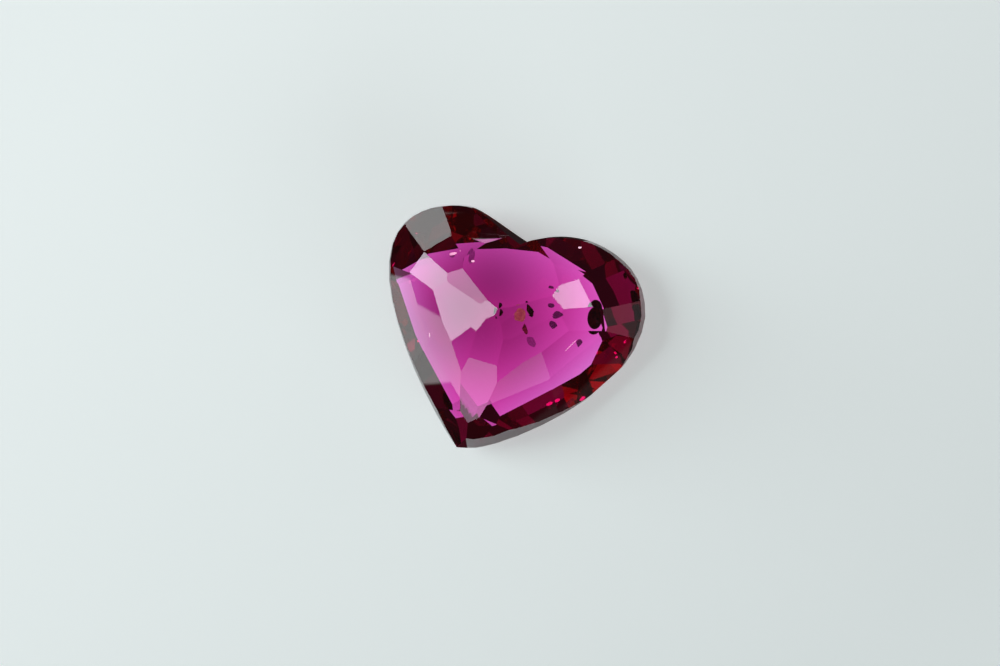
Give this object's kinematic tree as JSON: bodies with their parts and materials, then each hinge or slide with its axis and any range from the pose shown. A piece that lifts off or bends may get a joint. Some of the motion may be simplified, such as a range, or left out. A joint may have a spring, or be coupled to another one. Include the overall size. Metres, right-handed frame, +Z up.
{
  "type": "heart-cut faceted ruby gemstone",
  "caption": "Heart-shaped faceted ruby, clear and purplish pink with a dark red rim, lying on its flat table with the faceted pavilion up.",
  "frame": {"origin": "centre of the stone's box, on the plane of the table facet that it lies on", "axes": "+X towards the right lobe, along the stone's width; +Y from the point towards the notch between the lobes; +Z up from the table facet to the apex of the pavilion"},
  "size_m": [0.0068, 0.006, 0.0028],
  "materials": {
    "ruby": "polished clear ruby, purplish pink where the light comes through and dark red at the rim",
    "inclusion": "small mineral crystals grown inside the ruby, dark or orange-red, with a dull lustre"
  },
  "bodies": {
    "root": {"heart_ruby": "ruby"}
  },
  "joints": []
}
